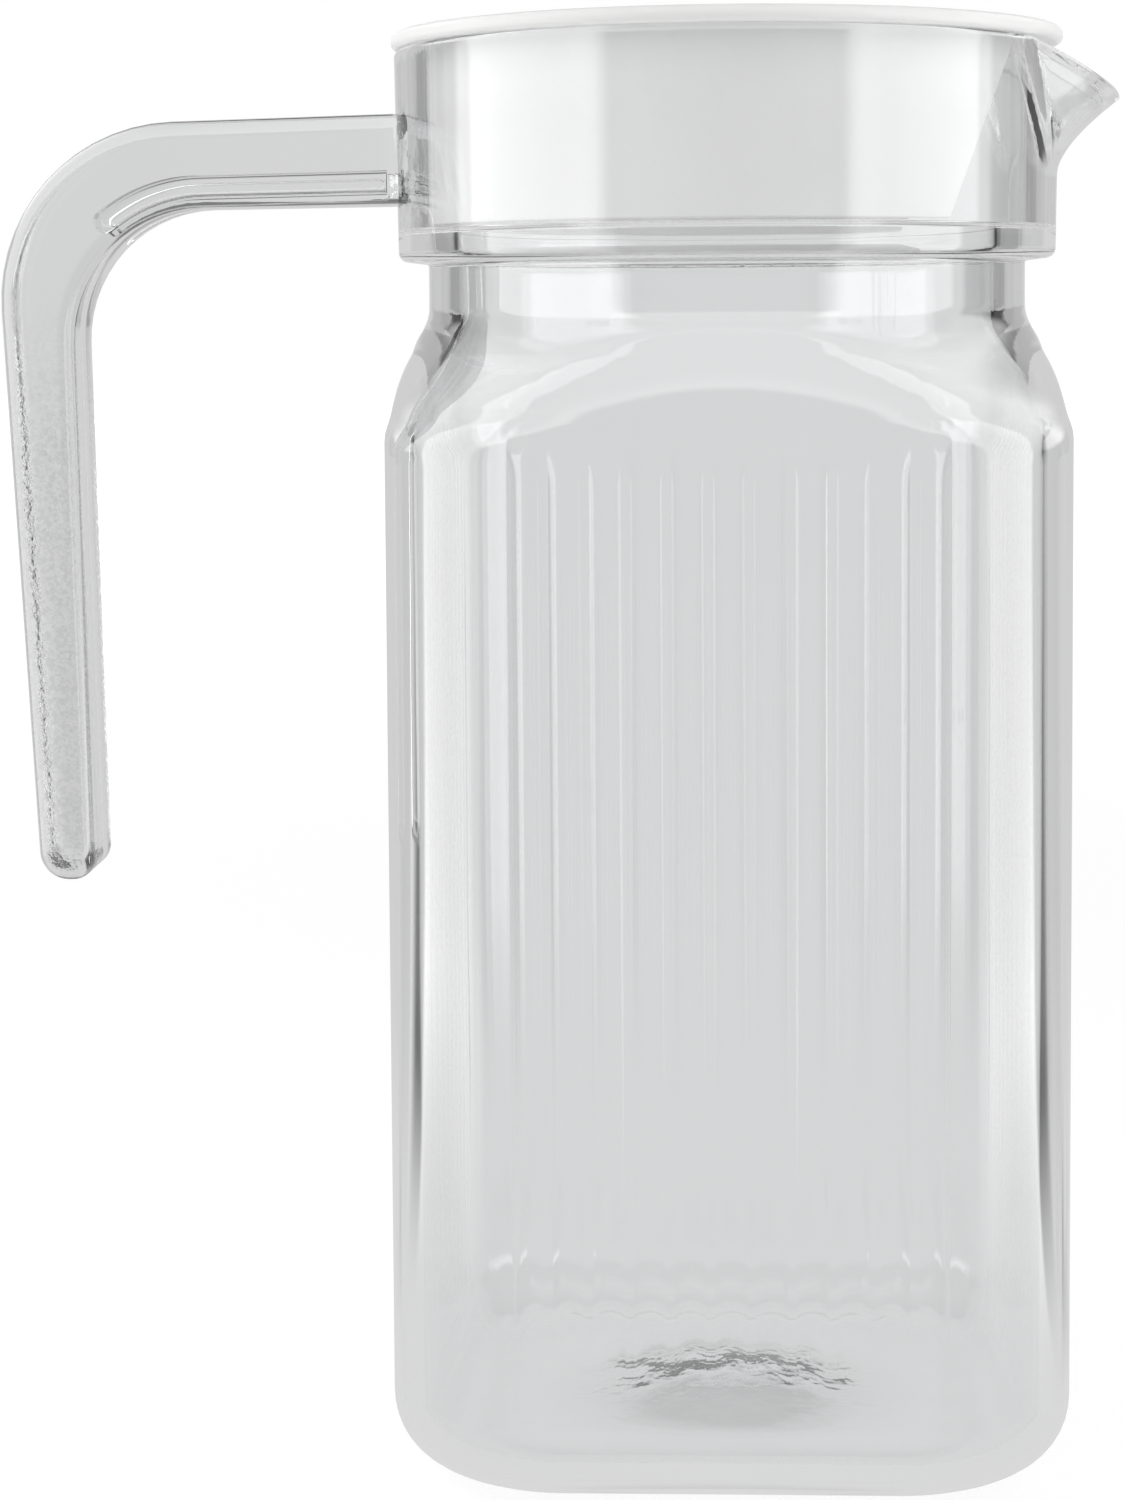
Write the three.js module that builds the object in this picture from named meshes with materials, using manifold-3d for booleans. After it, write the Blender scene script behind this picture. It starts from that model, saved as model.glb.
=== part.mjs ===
// A clear acrylic fridge jug: a square fluted vessel, a round pouring collar with
// a beak spout, an open-ended handle and a milky push-in lid.
// Millimetres, +Z up, spout towards +X, standing on z = 0.
import * as THREE from "three";
import { mergeVertices } from "three/addons/utils/BufferGeometryUtils.js";
import Module from "manifold-3d";

// Vessel
const BODY_WIDTH = 91.4; // across two flat faces
const BODY_HEIGHT = 138.3; // to where the walls start to draw in
const BODY_CORNER = 19; // plan radius of the upright edges
const BODY_WALL = 4;
const BASE_THICKNESS = 4;
const BASE_EDGE = 11.8; // radius that rolls the walls into the base
const PUSH_UP_RADIUS = 23; // hollow under the base
const PUSH_UP_HEIGHT = 2.8;
const SHOULDER_HEIGHT = 20; // from square body to round neck

// Flutes, the shallow upright channels on each face
const FLUTES_PER_FACE = 11;
const FLUTE_PITCH = 5.27;
const FLUTE_WIDTH = 4.2;
const FLUTE_DEPTH = 0.56;
const FLUTE_START = 25; // above the base
const FLUTE_OVERRUN = 3.2; // past the top of the straight walls
const FLUTE_RUN_OUT = 7; // length over which an end fades into the wall

// Neck and collar
const COLLAR_RADIUS = 46.3; // at the rim
const COLLAR_DRAFT = 0.4; // by which the collar is narrower at its bottom
const COLLAR_HEIGHT = 28.9;
const COLLAR_WALL = 4.3; // at the rim, round the lid's plug
const COLLAR_OVERHANG = 4.2; // collar beyond the neck
const COLLAR_CHAMFER = 0.6; // rise of the collar's underside
const COLLAR_EDGE = 1.4; // rounding of the collar's lower corner
const LEDGE_RISE = 4.5; // step inside the collar, above the collar's bottom
const NECK_HEIGHT = 6;
const NECK_WALL = 4;
const RIM_ROUND = 1.1;

// Spout
const SPOUT_LENGTH = 8.4; // lip beyond the rim
const SPOUT_DEPTH = 17; // from the rim down to where the beak leaves the collar
const SPOUT_DROP = 5.7; // lip below the rim
const SPOUT_WALL = 2.9;
const SPOUT_HALF_ANGLE = 27; // degrees, half the beak's width at the rim
const SPOUT_FOOT_ANGLE = 12; // degrees, half its width at the foot
const SPOUT_DIP = 1.1; // power that shapes the rim's fall to the lip

// Handle
const HANDLE_LENGTH = 55; // from the rim to the back of the grip
const HANDLE_WIDTH = 17;
const HANDLE_DROP = 7.9; // top of the bar below the rim
const HANDLE_ROUND = 2.4; // rounding along every edge
const HANDLE_GAP = 0.3; // between the bar's end and the collar
const BAR_DEPTH = 12.6;
const BAR_DROOP = 1.4; // degrees
const GRIP_LENGTH = 107.4; // from the bar's top to the free end
const GRIP_TIP_DEPTH = 7.7;
const GRIP_BACK_LEAN = 3; // degrees, back of the grip
const GRIP_FRONT_LEAN = 1.2; // degrees, finger side of the grip
const OUTER_BEND = 25;
const INNER_BEND = 18.5;
const TIP_ROUND = 3.4;
const POCKET_HEIGHT = 3.4; // long hollow in each side of the bar
const POCKET_DEPTH = 3;
const POCKET_LIP = 1.2; // below the pocket
const POCKET_SETBACK = 1; // from the collar
const POCKET_TURN = 38; // degrees that the pocket follows the bend

// Lid
const FLANGE_OVERHANG = 0.4; // flange beyond the rim
const FLANGE_THICKNESS = 2.9;
const FLANGE_ROUND = 1.2;
const FLANGE_SEAT = 0.1; // clearance on the rim
const PLUG_CLEARANCE = 0.35;
const PLUG_WALL = 1.8;
const PLUG_FLOOR_GAP = 0.7; // above the ledge
const POUR_CUT_TOP = 3.6; // from the bore to the slanted cut, under the flange
const POUR_CUT_FOOT = 10.4; // from the bore to the slanted cut, at the ledge
const POUR_CUT_ROOT = 0.4; // plug wall kept under the flange

// Facets
const VESSEL_SIDES = 64;
const DOME_SHARES = [0.5, 0.85, 1]; // of the push-up's radius, one ring each
const ARC_STEPS = 4;
const SHOULDER_STEPS = 6;
const SPOUT_STEP = 3; // degrees between facets along the beak
const COLLAR_STEP = 7.5; // degrees between facets elsewhere
const SPOUT_RINGS = 5;
const LID_SIDES = 60;
const FLUTE_SIDES = 30;
const FLUTE_END_STEPS = 2;
const BEND_STEPS = 8;
const EDGE_STEPS = 2;
const WELD = 1e-4; // distance under which two vertices are one
const PAST = 10; // how far a cutter runs past what it cuts

// Heights and radii that follow
const neckFoot = BODY_HEIGHT + SHOULDER_HEIGHT; // line between vessel and neck
const collarBottom = neckFoot + NECK_HEIGHT;
const ledgeHeight = collarBottom + LEDGE_RISE;
const rimTop = collarBottom + COLLAR_HEIGHT;
const spoutFoot = rimTop - SPOUT_DEPTH;
const handleTop = rimTop - HANDLE_DROP;
const bodyHalf = BODY_WIDTH / 2;
const collarBore = COLLAR_RADIUS - COLLAR_WALL; // takes the lid's plug
const neckRadius = COLLAR_RADIUS - COLLAR_DRAFT - COLLAR_OVERHANG;
const spoutReach = COLLAR_RADIUS + SPOUT_LENGTH; // from the jug's axis to the lip
const handleReach = COLLAR_RADIUS + HANDLE_LENGTH; // from the axis to the grip's back

const wasm = await Module();
wasm.setup();

const rad = THREE.MathUtils.degToRad;
const lerp = THREE.MathUtils.lerp;

const clearAcrylic = new THREE.MeshStandardMaterial({
  color: 0xe6e9ea,
  roughness: 0.05,
  metalness: 0,
  transparent: true,
  opacity: 0.35,
});
const milkyPlastic = new THREE.MeshStandardMaterial({
  color: 0xf2f2f0,
  roughness: 0.4,
  metalness: 0,
});

function solidOf(geometry) {
  const bare = new THREE.BufferGeometry();
  bare.setAttribute("position", geometry.getAttribute("position"));
  bare.setIndex(geometry.index);
  const welded = mergeVertices(bare, WELD);
  return new wasm.Manifold(
    new wasm.Mesh({
      numProp: 3,
      vertProperties: welded.getAttribute("position").array,
      triVerts: new Uint32Array(welded.index.array),
    }),
  );
}

function geometryOf(solid) {
  const { vertProperties, triVerts } = solid.getMesh();
  const geometry = new THREE.BufferGeometry();
  geometry.setAttribute("position", new THREE.BufferAttribute(vertProperties, 3));
  geometry.setIndex(new THREE.BufferAttribute(triVerts, 1));
  geometry.computeVertexNormals();
  return geometry;
}

function piece(name, solid, material) {
  const mesh = new THREE.Mesh(geometryOf(solid), material);
  mesh.name = name;
  return mesh;
}

// A closed surface over rings of equal count, each a list of points; a ring of
// one point is a pole, and closed joins the last ring back to the first.
function loft(rings, closed = false) {
  const positions = [];
  const triangles = [];
  const starts = rings.map((ring) => {
    const start = positions.length / 3;
    ring.forEach((p) => positions.push(p.x, p.y, p.z));
    return start;
  });
  const links = closed ? rings.length : rings.length - 1;
  for (let i = 0; i < links; i++) {
    const low = rings[i];
    const next = (i + 1) % rings.length;
    const high = rings[next];
    const count = Math.max(low.length, high.length);
    for (let k = 0; k < count; k++) {
      const turn = (k + 1) % count;
      const a = starts[i] + (low.length > 1 ? k : 0);
      const b = starts[i] + (low.length > 1 ? turn : 0);
      const c = starts[next] + (high.length > 1 ? turn : 0);
      const d = starts[next] + (high.length > 1 ? k : 0);
      if (low.length > 1) triangles.push(a, b, c);
      if (high.length > 1) triangles.push(a, c, d);
    }
  }
  const geometry = new THREE.BufferGeometry();
  geometry.setAttribute("position", new THREE.Float32BufferAttribute(positions, 3));
  geometry.setIndex(triangles);
  return geometry;
}

// A side outline in x and z, extruded to a width that straddles the y = 0 plane.
function sideExtrusion(outline, width, round = 0) {
  const geometry = new THREE.ExtrudeGeometry(outline, {
    depth: width - 2 * round,
    bevelEnabled: round > 0,
    bevelThickness: round,
    bevelSize: round,
    bevelOffset: -round,
    bevelSegments: EDGE_STEPS,
    curveSegments: BEND_STEPS,
  });
  geometry.rotateX(Math.PI / 2);
  geometry.translate(0, width / 2 - round, 0);
  return solidOf(geometry);
}

// A closed outline through corners [x, z, radius], each rounded by its radius.
function roundedOutline(corners) {
  const outline = new THREE.Shape();
  corners.forEach(([x, z, radius], i) => {
    const corner = new THREE.Vector2(x, z);
    const [bx, bz] = corners.at(i - 1);
    const [ax, az] = corners[(i + 1) % corners.length];
    const back = new THREE.Vector2(bx, bz).sub(corner).normalize();
    const ahead = new THREE.Vector2(ax, az).sub(corner).normalize();
    const half = Math.acos(back.dot(ahead)) / 2;
    const from = corner.clone().addScaledVector(back, radius / Math.tan(half));
    if (i === 0) outline.moveTo(from.x, from.y);
    else outline.lineTo(from.x, from.y);
    if (radius === 0) return;
    const inward = back.clone().add(ahead).normalize();
    const centre = corner.clone().addScaledVector(inward, radius / Math.sin(half));
    const to = corner.clone().addScaledVector(ahead, radius / Math.tan(half));
    const start = from.sub(centre).angle();
    const end = to.sub(centre).angle();
    outline.absarc(centre.x, centre.y, radius, start, end, back.cross(ahead) > 0);
  });
  return outline;
}

// Distance from the axis to a rounded square, along a ray at an angle to +X.
function squareReach(angle, half, corner) {
  const quarter = Math.PI / 2;
  const turned = ((angle % quarter) + quarter) % quarter;
  const ray = Math.min(turned, quarter - turned);
  const straight = half - corner;
  if (half * Math.tan(ray) <= straight) return half / Math.cos(ray);
  const sum = Math.cos(ray) + Math.sin(ray);
  const difference = Math.cos(ray) - Math.sin(ray);
  return straight * sum + Math.sqrt(corner ** 2 - (straight * difference) ** 2);
}

function squareRing(half, corner, height) {
  return Array.from({ length: VESSEL_SIDES }, (_, k) => {
    const angle = (2 * Math.PI * k) / VESSEL_SIDES;
    const reach = squareReach(angle, half, corner);
    return new THREE.Vector3(reach * Math.cos(angle), reach * Math.sin(angle), height);
  });
}

// Rings of the push-up's dome, from its middle to its edge, above a floor.
function domeRings(floor) {
  const rings = DOME_SHARES.map((share) => {
    const radius = PUSH_UP_RADIUS * share;
    return squareRing(radius, radius, floor + PUSH_UP_HEIGHT * (1 - share ** 2));
  });
  return [[new THREE.Vector3(0, 0, floor + PUSH_UP_HEIGHT)], ...rings];
}

// Rings of the rolled edge between floor and wall, inset by a wall thickness.
function baseEdgeRings(floor, inset) {
  const half = bodyHalf - inset;
  const radius = BASE_EDGE - inset;
  return Array.from({ length: ARC_STEPS + 1 }, (_, i) => {
    const angle = ((i / ARC_STEPS) * Math.PI) / 2;
    const width = half - radius * (1 - Math.sin(angle));
    const corner = ((BODY_CORNER - inset) * width) / half;
    return squareRing(width, corner, floor + radius * (1 - Math.cos(angle)));
  });
}

// Rings of the shoulder from square to round; the wall thickens towards the neck.
function shoulderRings(bodyInset, neckInset) {
  return Array.from({ length: SHOULDER_STEPS + 1 }, (_, i) => {
    const share = i / SHOULDER_STEPS;
    const ease = THREE.MathUtils.smoothstep(share, 0, 1);
    const inset = lerp(bodyInset, neckInset, share);
    const half = lerp(bodyHalf, neckRadius, ease) - inset;
    const corner = lerp(BODY_CORNER, neckRadius, ease) - inset;
    return squareRing(half, corner, lerp(BODY_HEIGHT, neckFoot, share));
  });
}

// A spindle that cuts a flute with faded ends into a wall at x = 0.
function fluteSpindle() {
  const radius = FLUTE_WIDTH ** 2 / (8 * FLUTE_DEPTH) + FLUTE_DEPTH / 2;
  const ends = Array.from({ length: FLUTE_END_STEPS + 1 }, (_, i) => {
    const share = i / FLUTE_END_STEPS;
    const cut = lerp(-FLUTE_DEPTH, FLUTE_DEPTH, Math.sin((share * Math.PI) / 2));
    return [radius - FLUTE_DEPTH + cut, share * FLUTE_RUN_OUT];
  });
  const top = BODY_HEIGHT + FLUTE_OVERRUN;
  const profile = [
    new THREE.Vector2(0, FLUTE_START),
    ...ends.map(([r, rise]) => new THREE.Vector2(r, FLUTE_START + rise)),
    ...ends.reverse().map(([r, rise]) => new THREE.Vector2(r, top - rise)),
    new THREE.Vector2(0, top),
  ];
  const spindle = new THREE.LatheGeometry(profile, FLUTE_SIDES);
  spindle.rotateX(Math.PI / 2);
  spindle.rotateZ(Math.PI / FLUTE_SIDES);
  return spindle.translate(radius - FLUTE_DEPTH, 0, 0);
}

function makeVessel() {
  const outside = [
    ...domeRings(0),
    ...baseEdgeRings(0, 0),
    ...shoulderRings(0, 0),
  ];
  const inside = [
    ...domeRings(BASE_THICKNESS),
    ...baseEdgeRings(BASE_THICKNESS, BODY_WALL),
    ...shoulderRings(BODY_WALL, NECK_WALL),
  ];
  const shell = solidOf(loft([...outside, ...inside.reverse()]));
  const spindle = fluteSpindle();
  const cutters = [];
  for (let face = 0; face < 4; face++) {
    for (let i = 0; i < FLUTES_PER_FACE; i++) {
      const offset = (i - (FLUTES_PER_FACE - 1) / 2) * FLUTE_PITCH;
      const placed = spindle.clone().translate(bodyHalf, offset, 0);
      cutters.push(solidOf(placed.rotateZ((face * Math.PI) / 2)));
    }
  }
  return shell.subtract(wasm.Manifold.union(cutters));
}

// Angles round the collar, close together along the beak.
function collarAngles() {
  const angles = [];
  for (let a = -SPOUT_HALF_ANGLE; a < SPOUT_HALF_ANGLE; a += SPOUT_STEP) angles.push(a);
  const rest = 360 - 2 * SPOUT_HALF_ANGLE;
  const count = Math.round(rest / COLLAR_STEP);
  for (let i = 0; i < count; i++) angles.push(SPOUT_HALF_ANGLE + (rest * i) / count);
  return angles.map((a) => rad(a));
}

function collarRadius(height) {
  const share = (height - collarBottom) / COLLAR_HEIGHT;
  return COLLAR_RADIUS - COLLAR_DRAFT * (1 - share);
}

// How much of the beak shows at an angle: 1 on its ridge, 0 beyond its flanks.
// The beak widens with its share of the way from the foot to the rim.
function beak(angle, share) {
  const half = rad(lerp(SPOUT_FOOT_ANGLE, SPOUT_HALF_ANGLE, share));
  const turned = Math.abs(Math.atan2(Math.sin(angle), Math.cos(angle)));
  return (1 + Math.cos(Math.PI * Math.min(turned / half, 1))) / 2;
}

function rimHeight(angle) {
  return rimTop - SPOUT_DROP * beak(angle, 1) ** SPOUT_DIP;
}

function makePouringCollar() {
  const angles = collarAngles();
  const ring = (place) =>
    angles.map((angle) => {
      const [radius, height] = place(angle);
      return new THREE.Vector3(radius * Math.cos(angle), radius * Math.sin(angle), height);
    });
  const plain = (radius, height) => ring(() => [radius, height]);
  const innerReach = spoutReach - SPOUT_WALL - collarBore;

  // A ring a share of the way up the beak, outside and inside the wall.
  const outside = (share) =>
    ring((angle) => {
      const height = lerp(spoutFoot, rimHeight(angle) - 2 * RIM_ROUND, share);
      const out = SPOUT_LENGTH * share ** 2 * beak(angle, share);
      return [collarRadius(height) + out, height];
    });
  const inside = (share) =>
    ring((angle) => {
      const height = lerp(spoutFoot + SPOUT_WALL, rimHeight(angle) - RIM_ROUND / 2, share);
      return [collarBore + innerReach * share ** 2 * beak(angle, share), height];
    });
  // A ring on the rounded rim, at a distance in from a wall and down from the top.
  const outerRim = (inset, drop) =>
    ring((angle) => [
      COLLAR_RADIUS + SPOUT_LENGTH * beak(angle, 1) - inset,
      rimHeight(angle) - drop,
    ]);
  const innerRim = (inset, drop) =>
    ring((angle) => [collarBore + innerReach * beak(angle, 1) + inset, rimHeight(angle) - drop]);

  const shares = Array.from({ length: SPOUT_RINGS + 1 }, (_, i) => i / SPOUT_RINGS);
  const skirt = collarBottom + COLLAR_CHAMFER;
  const eased = 1 - Math.SQRT1_2; // inset of a quarter round at its middle
  const neckBore = neckRadius - NECK_WALL;
  const rings = [
    plain(neckRadius, neckFoot),
    plain(neckRadius, collarBottom),
    plain(collarRadius(skirt) - COLLAR_EDGE, skirt),
    plain(collarRadius(skirt) - COLLAR_EDGE * eased, skirt + COLLAR_EDGE * eased),
    plain(collarRadius(skirt + COLLAR_EDGE), skirt + COLLAR_EDGE),
    ...shares.map(outside),
    outerRim(0, RIM_ROUND),
    outerRim(RIM_ROUND * eased, RIM_ROUND * eased),
    outerRim(RIM_ROUND, 0),
    innerRim(RIM_ROUND / 2, 0),
    ...shares.map(inside).reverse(),
    plain(collarBore, ledgeHeight),
    plain(neckBore, ledgeHeight),
    plain(neckBore, neckFoot),
  ];
  return solidOf(loft(rings, true));
}

// The bar's underside is level; its end at the collar is cut to the collar's round.
function makeHandle() {
  const root = collarBore;
  const lean = rad(GRIP_BACK_LEAN);
  const tipRound = Math.min(TIP_ROUND, 0.45 * GRIP_TIP_DEPTH); // limited by the grip
  const cornerX = handleReach + OUTER_BEND * (1 / Math.cos(lean) - 1 + Math.tan(lean));
  const cornerZ = handleTop - (cornerX - root) * Math.tan(rad(BAR_DROOP));
  const underside = handleTop - BAR_DEPTH;
  const gripTip = handleTop - GRIP_LENGTH;
  const tipBack = cornerX - (cornerZ - gripTip) * Math.tan(lean);
  const tipFront = tipBack - GRIP_TIP_DEPTH;
  const bendX = tipFront + (underside - gripTip) * Math.tan(rad(GRIP_FRONT_LEAN));
  const outline = roundedOutline([
    [-root, handleTop, 0],
    [-cornerX, cornerZ, OUTER_BEND],
    [-tipBack, gripTip, tipRound],
    [-tipFront, gripTip, tipRound],
    [-bendX, underside, INNER_BEND],
    [-root, underside, 0],
  ]);
  const bar = sideExtrusion(outline, HANDLE_WIDTH, HANDLE_ROUND);

  const centreX = INNER_BEND - bendX;
  const centreZ = underside - INNER_BEND;
  const near = INNER_BEND + POCKET_LIP;
  const far = near + POCKET_HEIGHT;
  const middle = (near + far) / 2;
  const level = Math.PI / 2;
  const end = level + rad(POCKET_TURN);
  const startX = -collarRadius(handleTop) - POCKET_SETBACK;
  const pocket = new THREE.Shape();
  pocket.moveTo(startX, centreZ + far);
  pocket.lineTo(startX, centreZ + near);
  pocket.absarc(centreX, centreZ, near, level, end, false);
  const endX = centreX + middle * Math.cos(end);
  const endZ = centreZ + middle * Math.sin(end);
  pocket.absarc(endX, endZ, POCKET_HEIGHT / 2, end + Math.PI, end, true);
  pocket.absarc(centreX, centreZ, far, end, level, true);
  const slab = sideExtrusion(pocket, HANDLE_WIDTH + PAST);
  const web = new THREE.BoxGeometry(4 * handleReach, HANDLE_WIDTH - 2 * POCKET_DEPTH, 4 * handleReach);

  const seat = [
    new THREE.Vector2(0, underside - PAST),
    new THREE.Vector2(collarRadius(underside - PAST) + HANDLE_GAP, underside - PAST),
    new THREE.Vector2(collarRadius(handleTop + PAST) + HANDLE_GAP, handleTop + PAST),
    new THREE.Vector2(0, handleTop + PAST),
  ];
  const round = new THREE.LatheGeometry(seat, 2 * LID_SIDES);
  round.rotateX(Math.PI / 2);
  return bar.subtract(slab.subtract(solidOf(web))).subtract(solidOf(round));
}

function makeLid() {
  const seat = rimTop + FLANGE_SEAT;
  const top = seat + FLANGE_THICKNESS;
  const flangeRadius = COLLAR_RADIUS + FLANGE_OVERHANG;
  const plugRadius = collarBore - PLUG_CLEARANCE;
  const plugFoot = ledgeHeight + PLUG_FLOOR_GAP;
  const outline = new THREE.Path();
  outline.moveTo(0, seat);
  outline.lineTo(plugRadius - PLUG_WALL, seat);
  outline.lineTo(plugRadius - PLUG_WALL, plugFoot);
  outline.lineTo(plugRadius, plugFoot);
  outline.lineTo(plugRadius, seat);
  outline.lineTo(flangeRadius - FLANGE_ROUND, seat);
  outline.absarc(flangeRadius - FLANGE_ROUND, seat + FLANGE_ROUND, FLANGE_ROUND, -Math.PI / 2, 0);
  outline.absarc(flangeRadius - FLANGE_ROUND, top - FLANGE_ROUND, FLANGE_ROUND, 0, Math.PI / 2);
  outline.lineTo(0, top);
  const turned = new THREE.LatheGeometry(outline.getPoints(EDGE_STEPS), LID_SIDES);
  turned.rotateX(Math.PI / 2);
  const cutTop = seat - POUR_CUT_ROOT;
  const cut = new THREE.Shape();
  cut.moveTo(collarBore - POUR_CUT_FOOT, plugFoot - PAST);
  cut.lineTo(flangeRadius + PAST, plugFoot - PAST);
  cut.lineTo(flangeRadius + PAST, cutTop);
  cut.lineTo(collarBore - POUR_CUT_TOP, cutTop);
  cut.lineTo(collarBore - POUR_CUT_FOOT, plugFoot);
  return solidOf(turned).subtract(sideExtrusion(cut, 2 * flangeRadius));
}

const jug = new THREE.Group();
jug.add(piece("vessel", makeVessel(), clearAcrylic));
jug.add(piece("pouring_collar", makePouringCollar(), clearAcrylic));
jug.add(piece("handle", makeHandle(), clearAcrylic));
jug.add(piece("lid", makeLid(), milkyPlastic));
// The origin is the middle of the jug's footprint, so the axis stands off it.
jug.position.x = (handleReach - spoutReach) / 2;

export default jug;
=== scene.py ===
from math import acos, atan2, cos, pi, radians, sin, tan

import bpy
from mathutils import Matrix, Vector


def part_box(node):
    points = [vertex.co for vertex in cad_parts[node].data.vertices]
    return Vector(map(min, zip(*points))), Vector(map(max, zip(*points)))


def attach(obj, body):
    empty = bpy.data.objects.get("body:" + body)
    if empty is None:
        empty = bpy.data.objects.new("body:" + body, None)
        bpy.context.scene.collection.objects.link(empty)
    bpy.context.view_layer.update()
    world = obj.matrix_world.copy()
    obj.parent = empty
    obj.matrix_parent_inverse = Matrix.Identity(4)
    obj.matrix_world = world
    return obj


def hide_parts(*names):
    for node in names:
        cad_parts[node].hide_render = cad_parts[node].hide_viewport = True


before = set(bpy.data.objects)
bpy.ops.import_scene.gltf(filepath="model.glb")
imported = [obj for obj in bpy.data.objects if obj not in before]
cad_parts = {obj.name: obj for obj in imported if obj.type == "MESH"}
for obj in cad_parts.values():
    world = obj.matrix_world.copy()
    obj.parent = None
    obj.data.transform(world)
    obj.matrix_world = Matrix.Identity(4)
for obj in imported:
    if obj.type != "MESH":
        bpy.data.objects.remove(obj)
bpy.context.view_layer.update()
scene = bpy.context.scene
scene.view_settings.view_transform = "Standard"


# Camera: 47 cm in front of the jug at the height of its shoulder, turned a little
# left and down. The lens is shifted so that the upright edges stay nearly parallel.
SENSOR_WIDTH = 36  # mm
FOCAL_LENGTH = 80.36  # mm
LENS_SHIFT = -0.12
CAMERA_PLACE = (0.02045, -0.4726, 0.1578)
CAMERA_TURN = 2.47  # degrees to the left
CAMERA_TILT = 4.435  # degrees down
CAMERA_ROLL = -0.4  # degrees
lens = bpy.data.cameras.new("front_camera")
lens.sensor_width = SENSOR_WIDTH
lens.lens = FOCAL_LENGTH
lens.shift_y = LENS_SHIFT
camera = bpy.data.objects.new("front_camera", lens)
scene.collection.objects.link(camera)
camera.matrix_world = (
    Matrix.Translation(CAMERA_PLACE)
    @ Matrix.Rotation(radians(CAMERA_TURN), 4, "Z")
    @ Matrix.Rotation(radians(90 - CAMERA_TILT), 4, "X")
    @ Matrix.Rotation(radians(CAMERA_ROLL), 4, "Z")
)
scene.camera = camera


# Studio air: white to the camera and light grey through the clear plastic. The plastic
# mirrors light walls left and right, dark sides behind them and a light panel overhead,
# which draw its bands and edges. Matte surfaces get a soft fill.
class Wire:
    """An output of a node: arithmetic adds Math nodes, node() adds any other node."""

    def __init__(self, tree, socket=None):
        self.tree = tree
        self.socket = socket

    def node(self, kind, settings, inputs, output=0):
        made = self.tree.nodes.new(kind)
        for name, value in settings.items():
            setattr(made, name, value)
        for place, value in inputs.items():
            if isinstance(value, Wire):
                self.tree.links.new(value.socket, made.inputs[place])
            else:
                made.inputs[place].default_value = value
        return Wire(self.tree, made.outputs[output] if len(made.outputs) else None)

    def also(self, output):
        return Wire(self.tree, self.socket.node.outputs[output])

    def math(self, operation, *values):
        return self.node("ShaderNodeMath", {"operation": operation}, dict(enumerate(values)))

    def absolute(self):
        return self.math("ABSOLUTE", self)

    def smooth(self, low, high):
        return self.node(
            "ShaderNodeMapRange",
            {"interpolation_type": "SMOOTHSTEP"},
            {"Value": self, "From Min": low, "From Max": high},
        )

    def __add__(self, other):
        return self.math("ADD", self, other)

    def __sub__(self, other):
        return self.math("SUBTRACT", self, other)

    def __rsub__(self, other):
        return self.math("SUBTRACT", other, self)

    def __mul__(self, other):
        return self.math("MULTIPLY", self, other)

    def __truediv__(self, other):
        return self.math("DIVIDE", self, other)

    def __rtruediv__(self, other):
        return self.math("DIVIDE", other, self)

    def __pow__(self, other):
        return self.math("POWER", self, other)

    __radd__ = __add__
    __rmul__ = __mul__


FILL = 0.38
BACKDROP = 0.7  # the sheet behind the jug
BACKDROP_FALL = 0.1  # the share of its light that it loses off its middle
SIDE_SHADE = 0.04
DIM_SHARE = 0.38  # of that shade, next to the sheet
CEILING_SHARE = 0.85  # and overhead
LIGHT_WALL = 2.45
LIGHT_PANEL = 2.7
FAR_WALL_DEPTH = 5.5  # rays deeper than this have been to the jug's far wall
FIRST_DEPTH = 2.5  # rays up to this come straight off its outside
# headings, by how far they point to the front: -1 behind the jug, 1 before it
BACKDROP_MIDDLE = (0.95, 0.995)  # to the back
LEFT_WALL_BACK = -0.26
RIGHT_WALL_BACK = -0.2
WALL_BLUR = 0.04
WALL_FRONT = (0.68, 0.76)
DARK_SIDES = (0.54, 0.62)
DIM_SIDES = (0.77, 0.83)
PANEL_BACK = (-0.85, -0.65)
# headings, by how far they point up: 0 level, 1 straight up
PANEL_FOOT = (0.24, 0.38)
CEILING_FOOT = (0.4, 0.55)
FAR_WALL_TOP = (0.2, 0.3)

world = bpy.data.worlds.new("studio_air")
scene.world = world
world.use_nodes = True
world.node_tree.nodes.clear()
air = Wire(world.node_tree)


def frontness(x, y):
    """One towards the camera's side, minus one towards the back, along a heading."""
    return 0 - y / (x * x + y * y) ** 0.5


def light_walls(x, y):
    """Where the light walls stand left and right of the jug, by heading from it."""
    front = frontness(x, y)
    on_right = x.math("GREATER_THAN", x, 0.0)
    back_edge = on_right * (RIGHT_WALL_BACK - LEFT_WALL_BACK) + LEFT_WALL_BACK
    from_back = front.smooth(back_edge - WALL_BLUR, back_edge + WALL_BLUR)
    return from_back * (1 - front.smooth(*WALL_FRONT))


def sides(x, y, inner, outer):
    """Where the sides of the studio show, between the sheet behind and the front."""
    return 1 - frontness(x, y).absolute().smooth(inner, outer)


def behind(x, y):
    """The sheet behind the jug, brightest in its middle."""
    middle = (0 - frontness(x, y)).smooth(*BACKDROP_MIDDLE)
    return BACKDROP * (1 - BACKDROP_FALL + BACKDROP_FALL * middle)


def reflected(path):
    """Reflected inside the plastic or off it, and not just seen through it."""
    return path.math("GREATER_THAN", path.also("Glossy Depth"), 0.5)


def reflected_once(path):
    """Reflected by just one face of the jug's walls."""
    return path.math("COMPARE", path.also("Glossy Depth"), 1.0, 0.1)


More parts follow.
